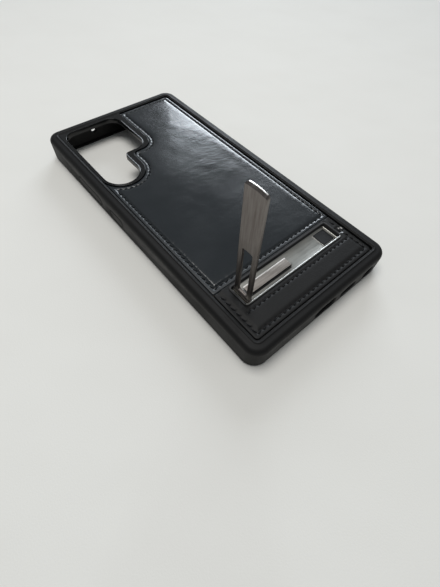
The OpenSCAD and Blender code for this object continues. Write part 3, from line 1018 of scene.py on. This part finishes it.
def build_band():
    hole = filled_in(slot_outline(TRAY_WALL + 0.1), 0.4)
    near_row = [(x, SLOT_ROW_Y + dy) for dy in (-1.2, -0.8, -0.5, -0.25, 0, 0.25, 0.5, 0.8, 1.2)
                for x in np.arange(SLOT_X0 - 3.6, SLOT_X1 + 3.6, 0.45)]
    dish = [(DISH[0] + r * math.cos(a), DISH[1] + r * math.sin(a))
            for r in np.arange(0.3, DISH_R + 0.4, 0.25)
            for a in np.linspace(0, 2 * math.pi, 36, endpoint=False)]
    rim = ringed(filled_in(slot_outline(TRAY_WALL + TRAY_RIM + 2.0), 0.5), (0.6, 1.1, 1.5))
    band = hide("padded_band", BAND_EDGE, band_height, BAND_PRICKS, [hole], [near_row, dish, rim])
    co = from_above(band)
    away = np.hypot(co[:, 0] - DISH[0], co[:, 1] - DISH[1])
    mark(band.data, "burnish", 1 - smooth(away, DISH_R - 0.1, DISH_R + 0.3))
    finished(band, BAND_LEATHER, "case", "band_leather", "leather_band", "band_padding")
    return band


# ---- Stitches ----

def build_stitches(name, rows, height, node_name):
    """A row of thread stitches that arch over the leather and go down into it at both ends."""
    rng = random.Random(len(rows))
    sides, bends = 8, 9
    points, faces, turns, runs = [], [], [], []
    for middle, way in rows:
        way = way + STITCH_TILT + rng.uniform(-0.05, 0.05)
        along = np.array((math.cos(way), math.sin(way)))
        across = np.array((-math.sin(way), math.cos(way), 0))
        s = np.linspace(-1, 1, bends)
        length = STITCH_L / 2 + rng.uniform(-0.05, 0.05)
        flat = middle + np.outer(s * length, along)
        rise = THREAD_R * 0.9 - 0.55 * np.abs(s) ** 5
        path = np.column_stack([flat, height(flat).max() + rise])
        slopes = np.gradient(path, axis=0)
        start = len(points)
        for k in range(bends):
            thick = THREAD_R * (1.0 - 0.18 * abs(s[k]) ** 3)
            up = np.cross(unit(slopes[k]), across)
            for j in range(sides):
                a = 2 * math.pi * j / sides
                points.append(path[k] + thick * (across * math.cos(a) + up * math.sin(a)))
                turns.append(a)
                runs.append(s[k])
        faces += skin(start, bends, sides, flip=True)
        faces.append(list(range(start, start + sides)))
        faces.append(list(range(len(points) - sides, len(points)))[::-1])
    row = make(name, points, faces)
    mark(row.data, "turn", turns)
    mark(row.data, "run", runs)
    return finished(row, THREAD, "case", "thread", node_name)


# ---- Camera bezel ----

def build_bezel():
    """Glossy bezel: a flat land, a raised bead round the opening, and a dished inner face."""
    bottom, land, rim = PLATE_TOP, FLANGE_TOP, BEZEL_HIGH[2]
    middle, r, slope = 0.30, 0.2, 0.40
    inner = [(0.0, bottom), (0.0, bottom + 0.5), (0.03, bottom + 0.8), (0.1, bottom + 1.2),
             *arc((middle, rim - r), r, 155, 90, count=5)]
    inner += [(middle + slope * t, rim - (rim - land) * (1 - math.cos(math.pi / 2 * t)))
              for t in np.linspace(0, 1, 8)[1:]]
    bezel = slab("bezel", filled_in(bezel_outline(), 2.0), eased(bottom, land, 0.0, 0.15),
                 [filled_in(camera_outline(0.0, 0.35), 2.0)], inner)
    return finished(sharpened(bezel, 60), BEZEL_GLOSS, "case", "bezel", "camera_bezel")


# ---- Back ----

def build_lining():
    """The microfibre sheet in the cavity, with soft edges."""
    x, y = HALF_W - WALL - 0.6, HALF_L - WALL - 0.6
    outer = filled_in(round_rect(-x, -y, x, y, CORNER_R - WALL - 0.6), 3.0)
    hole = filled_in(camera_outline(0.6), 2.0)
    low, high = LINING_LOW[2], LINING_HIGH[2]
    profile = [(0.14, low), (0.04, low + 0.06), (0.0, low + 0.14), (0.0, high)]
    lining = slab("microfibre_lining", outer, profile, [hole], profile)
    return finished(sharpened(lining, 50), LINING, "case", "lining", "inner_lining")


# ---- Kickstand ----

def build_tray():
    """The stamped tray: a rim rolled over the leather, round-bottomed walls, a flange below."""
    wall, outside, flange = -TRAY_WALL, -TRAY_WALL - TRAY_RIM, -TRAY_WALL - TRAY_FLANGE
    base, tape, band = TRAY_LOW[2], PLATE_TOP + 0.1, BAND_TOP + 0.03
    rings = [(wall + 0.35, base), (wall + 0.1, base + 0.08), (wall, base + 0.3),
             (wall, tape), (flange, tape), (flange, tape + 0.2), (wall, tape + 0.2), (wall, band),
             (outside + 0.05, band), (outside, band + 0.05), (outside + 0.02, TRAY_TOP - 0.1),
             (outside + 0.1, TRAY_TOP - 0.02), (outside + 0.22, TRAY_TOP), (-0.2, TRAY_TOP),
             (-0.07, TRAY_TOP - 0.03), (0.0, TRAY_TOP - 0.12), (0.0, FLOOR_Z + 0.45),
             (0.06, FLOOR_Z + 0.2), (0.2, FLOOR_Z + 0.06), (0.45, FLOOR_Z)]
    outer_edge, inner_edge, first_floor = (9, 10, 11), (13, 14, 15), 18
    loop = filled_in(slot_outline(0.0, 0.2), 3.0)
    n = len(loop)
    sides = np.concatenate([at(loop, inset, z) for inset, z in rings])
    # Painted shade on the floor under the tongue: a black patch, with its edge made by two near outlines.
    shadow_pad = filled_in(round_rect(LEAF_LOW[0] + 1.0, LEAF_LOW[1] - 0.6, LEAF_HIGH[0] - 0.2,
                               LEAF_HIGH[1], 0.2, 0.2), 1.0)
    shadow_rings = np.concatenate([shadow_pad, shadow_pad + inward(shadow_pad) * -0.12])
    points = np.vstack([sides, np.column_stack([shadow_rings, np.full(len(shadow_rings), FLOOR_Z)])])
    faces = skin(0, len(rings), n) + (fill([sides[-n:]], shadow_rings) + len(sides) - n).tolist()
    faces += fill([sides[:n]])[:, ::-1].tolist()
    ring = np.concatenate([np.repeat(np.arange(len(rings)), n), np.full(len(shadow_rings), len(rings))])
    # The rolled edges are marked light, partly wear and partly painted highlight; the coat hides this
    # except along the near inner edge, which is left bare.
    wear_and_glint = np.where(np.isin(ring, outer_edge + inner_edge), 0.95, 0.2)
    wear_and_glint[len(sides):] = 0.0
    pan = make("tray_pan", points, faces, wear_and_glint)
    near = points[:, 1] < SLOT_Y - SLOT_W / 2 + 0.1
    bare = (ring >= first_floor) | (near & np.isin(ring, inner_edge))
    # The patch's inner outline is coated black as painted shade; the outer one stays bare.
    bare[len(sides):len(sides) + len(shadow_pad)] = False
    mark(pan.data, "coat_and_shade", ~bare)
    # The magnet's edging is bare metal whose rounded sides are marked light: a painted highlight round
    # the magnet.
    x, w = (MAGNET_LOW[0] + MAGNET_HIGH[0]) / 2, (MAGNET_HIGH[0] - MAGNET_LOW[0]) / 2
    out = w + EDGING_W
    outer = round_rect(x - out, SLOT_Y - out, x + out, SLOT_Y + out, 0.5, 0.15)
    inner = round_rect(x - w, SLOT_Y - w, x + w, SLOT_Y + w, 0.2, 0.15)
    edging = slab("magnet_edging", outer, eased(FLOOR_Z - 0.05, FLOOR_Z + 0.2, 0.0, 0.1), [inner],
                  eased(FLOOR_Z - 0.05, FLOOR_Z + 0.2, 0.0, 0.07))
    tray = sharpened(joined("tray", [pan, edging]), 50)
    return finished(tray, TRAY_METAL, "case", "tray_metal", "kickstand_tray")


def build_magnet():
    low, high = MAGNET_LOW, MAGNET_HIGH
    outline = round_rect(low[0] + 0.03, low[1] + 0.03, high[0] - 0.03, high[1] - 0.03, 0.25, 0.12)
    block = slab("magnet_block", outline, eased(low[2] + 0.01, high[2], 0.0, 0.12))
    return finished(sharpened(block, 50), MAGNET_COAT, "case", "magnet", "magnet")


def build_leaf():
    """The spring leaf: a strip folded down at its end, with a foot on the tray's floor."""
    t = LEAF_T / 2
    top, floor_z = LEAF_HIGH[2] - t, LEAF_LOW[2] + t
    bend = min(0.5, (top - floor_z) / 2)
    x = LEAF_HIGH[0] - t - bend
    line = np.array([(LEAF_LOW[0], top), *arc((x, top - bend), bend, 90, 0, count=7),
                     *arc((x, floor_z + bend), bend, 0, -90, count=7)[1:],
                     (LEAF_HIGH[0] - LEAF_FOOT, floor_z)])
    tangent = units(np.gradient(line, axis=0))
    normal = np.stack([-tangent[:, 1], tangent[:, 0]], 1)
    half, r = (LEAF_HIGH[1] - LEAF_LOW[1]) / 2, 0.07
    # Each corner of the section across the strip, and how light its edge is painted: the far top edge
    # carries a painted highlight.
    section = [(-half, r - t, 0.0), (-half, t - r, 0.0), (-half + r, t, 0.0), (half - 0.75, t, 0.0),
               (half - 0.5, t, 0.95), (half - r, t, 1.0), (half, t - r, 1.0), (half, r - t, 0.3),
               (half - r, -t, 0.0), (-half + r, -t, 0.0)]
    points = [(x + n[0] * v, SLOT_Y + u, z + n[1] * v)
              for (x, z), n in zip(line, normal) for u, v, _ in section]
    count = len(section)
    faces = skin(0, len(line), count, flip=True)
    faces += [list(range(count)), list(range(len(points) - count, len(points)))[::-1]]
    leaf = make("spring_leaf", points, faces, [wear_and_glint for _, _, wear_and_glint in section] * len(line))
    # The lower corners are coated black: painted shade in the gap under the strip.
    mark(leaf.data, "coat_and_shade", [v < 0 for _, v, _ in section] * len(line))
    return finished(sharpened(leaf, 30), LEAF_STEEL, "case", "leaf_steel", "tension_leaf")


def rod(name, radius, step, profile):
    """A round bar along Y, with its middle at the origin."""
    bar = slab(name, arc((0, 0), radius, 0, 360, step)[:-1], profile)
    return turned(bar, Matrix.Rotation(math.radians(90), 4, "X"))


def build_arm():
    """The arm with its window and knuckle, made lying folded and then turned open."""
    outline = filled_in(rounded([(0.0, -ARM_W / 2, 0.3), (ARM_L, -ARM_W / 2, 1.2),
                                 (ARM_L, ARM_W / 2, 1.2), (0.0, ARM_W / 2, 0.3)], 0.15), 3.0)
    window = filled_in(round_rect(WINDOW_START, -WINDOW_W / 2, WINDOW_START + WINDOW_L,
                                  WINDOW_W / 2, 0.7, 0.15), 3.0)
    edge = eased(-ARM_T / 2, ARM_T / 2, 0.16, 0.16, 3)
    plate = slab("arm_plate", outline, edge, [window], edge)
    # The tip is bevelled and slightly arched.
    wide = 1.5 * ARM_W
    tip = [(ARM_L - 1.05, ARM_T / 2 + 0.3), (ARM_L + 0.6, ARM_T / 2 - 1.35), (ARM_L + 0.6, ARM_T)]
    wedge = [(x, y, z) for y in (-wide, wide) for x, z in tip]
    faces = [(0, 1, 2), (5, 4, 3), (0, 3, 4, 1), (1, 4, 5, 2), (2, 5, 3, 0)]
    plate = combined(plate, make("tip_cutter", wedge, faces), "DIFFERENCE")
    for v in plate.data.vertices:
        x, y = v.co.x / MM, v.co.y / MM
        v.co.x -= TIP_ARCH * MM * (2 * y / ARM_W) ** 2 * float(smooth(x, ARM_L - 6, ARM_L - 1))
    barrel = rod("barrel", KNUCKLE_R, 0.2, eased(-KNUCKLE_L / 2, KNUCKLE_L / 2, 0.15, 0.15, 3))
    bore = rod("bore", PIN_R, 0.15, [(0, -KNUCKLE_L), (0, KNUCKLE_L)])
    arm = combined(combined(plate, barrel, "UNION"), bore, "DIFFERENCE")
    arm.name = "stand_arm_plate"
    # The tip's end face carries a painted highlight, marked face by face so that it stops sharply at the
    # bevel's edge.
    arm.data.attributes.remove(arm.data.attributes["wear_and_glint"])
    mark(arm.data, "wear_and_glint", [p.normal.x > 0.85 and p.center.x > (ARM_L - 1.5) * MM
                            for p in arm.data.polygons], "FACE")
    turn = Matrix.Translation(HINGE) @ Matrix.Rotation(math.radians(-ARM_OPEN), 4, "Y")
    arm = sharpened(turned(arm, turn), 35)
    return finished(arm, ARM_METAL, "stand_arm", "arm_metal", "kickstand_arm")


# ---- Buttons ----

def build_button(name, node_name, body, box):
    """A pill-shaped push cover with a pillowed face, its retaining flange and the nub behind."""
    low, high = box
    middle, length, tall = button_face(low, high)
    deep = high[0] - low[0]
    back = WALL - 0.05
    flange, wide = back - BUTTON_FLANGE_T, BUTTON_FLANGE_W
    rings = [(NUB_IN, -deep), (NUB_IN - 0.1, -deep + 0.05), (NUB_IN - 0.1, -back),
             (0.05 - wide, -back), (-wide, -back + 0.05), (-wide, -flange - 0.05),
             (0.05 - wide, -flange), (0.0, -flange), (0.0, -0.45), (0.05, -0.25), (0.2, -0.1),
             (0.5, -0.03), (1.1, 0.0)]
    cover = in_wall(name, stadium(length, tall, 0.3), rings, (-1, 0), (-HALF_W, middle, PORT_Z))
    return finished(sharpened(cover, 45), BLACK_RUBBER, body, "bumper", node_name)


# ---- Stage ----

def build_floor():
    """A plain pale floor with a faint cloth grain."""
    n = FLOOR_CELLS + 1
    ticks = np.linspace(-FLOOR_HALF, FLOOR_HALF, n)
    points = [(x, y, 0.0) for y in ticks for x in ticks]
    faces = [(j * n + i, j * n + i + 1, (j + 1) * n + i + 1, (j + 1) * n + i)
             for j in range(FLOOR_CELLS) for i in range(FLOOR_CELLS)]
    look = Look("pale_cloth", (0.79, 0.785, 0.75), (0.82, 0.815, 0.785), 0.9)
    weave = look.noise(0.6, 4.0)
    soft = look.noise(60.0, 2.0)
    look.bump((soft, 1.2), (weave, 0.03))
    floor = make("floor", points, faces)
    paint(floor, look.tinted(soft))


def area_light(name, azimuth, elevation, away, width, height, power, colour):
    """A soft light in that direction from the case, facing it. Azimuth is from +X towards +Y."""
    data = bpy.data.lights.new(name, "AREA")
    data.shape = "RECTANGLE"
    data.size, data.size_y = width, height
    data.energy = power
    data.color = colour
    light = bpy.data.objects.new(name, data)
    bpy.context.scene.collection.objects.link(light)
    a, e = math.radians(azimuth), math.radians(elevation)
    way = np.array((math.cos(a) * math.cos(e), math.sin(a) * math.cos(e), math.sin(e)))
    right = np.array((-math.sin(a), math.cos(a), 0))
    up = np.cross(way, right)
    light.matrix_world = Matrix((*np.column_stack([right, up, way, way * away]), (0, 0, 0, 1)))


def build_lights():
    area_light("window", 40, 20.5, 2.6, 1.38, 1.10, 37, (0.86, 0.93, 1.0))
    area_light("ceiling", 130, 84, 0.85, 0.50, 0.50, 4.2, (1.0, 0.985, 0.955))
    world = bpy.data.worlds.new("studio")
    world.use_nodes = True
    sky = world.node_tree.nodes["Background"].inputs
    sky["Color"].default_value, sky["Strength"].default_value = SKY
    bpy.context.scene.world = world
    bpy.context.scene.view_settings.view_transform = "Standard"


def build_camera():
    """Above the port end's left corner, looking down the case with a wide lens."""
    data = bpy.data.cameras.new("camera")
    data.lens = LENS_MM
    data.sensor_width = 36.0
    data.clip_start = 0.01
    camera = bpy.data.objects.new("camera", data)
    camera.location = [v * MM for v in VIEW_FROM]
    camera.rotation_euler = [math.radians(a) for a in VIEW_TURN]
    bpy.context.scene.collection.objects.link(camera)
    bpy.context.scene.camera = camera


build_camera()
build_lights()
build_floor()
build_bumper()
build_bezel()
build_lining()
build_panel()
build_band()
build_stitches("panel_thread", panel_rows(), panel_height, "panel_stitching")
build_stitches("camera_thread", camera_rows(), panel_height, "camera_stitching")
build_stitches("slot_thread", slot_rows(), band_height, "slot_stitching")
build_stitches("border_thread", border_rows(), band_height, "border_stitching")
build_tray()
build_magnet()
build_leaf()
build_arm()
build_button("volume_cover", "volume_button", "volume_key", VOLUME_BOX)
build_button("power_cover", "power_button", "power_key", POWER_BOX)
for carried, better in (("back_plate", PLATE_PLASTIC), ("backing_board", BOARD),
                        ("tray_adhesive", TAPE), ("hinge_pin", PIN_STEEL)):
    paint(frame["nodes"][carried], better)
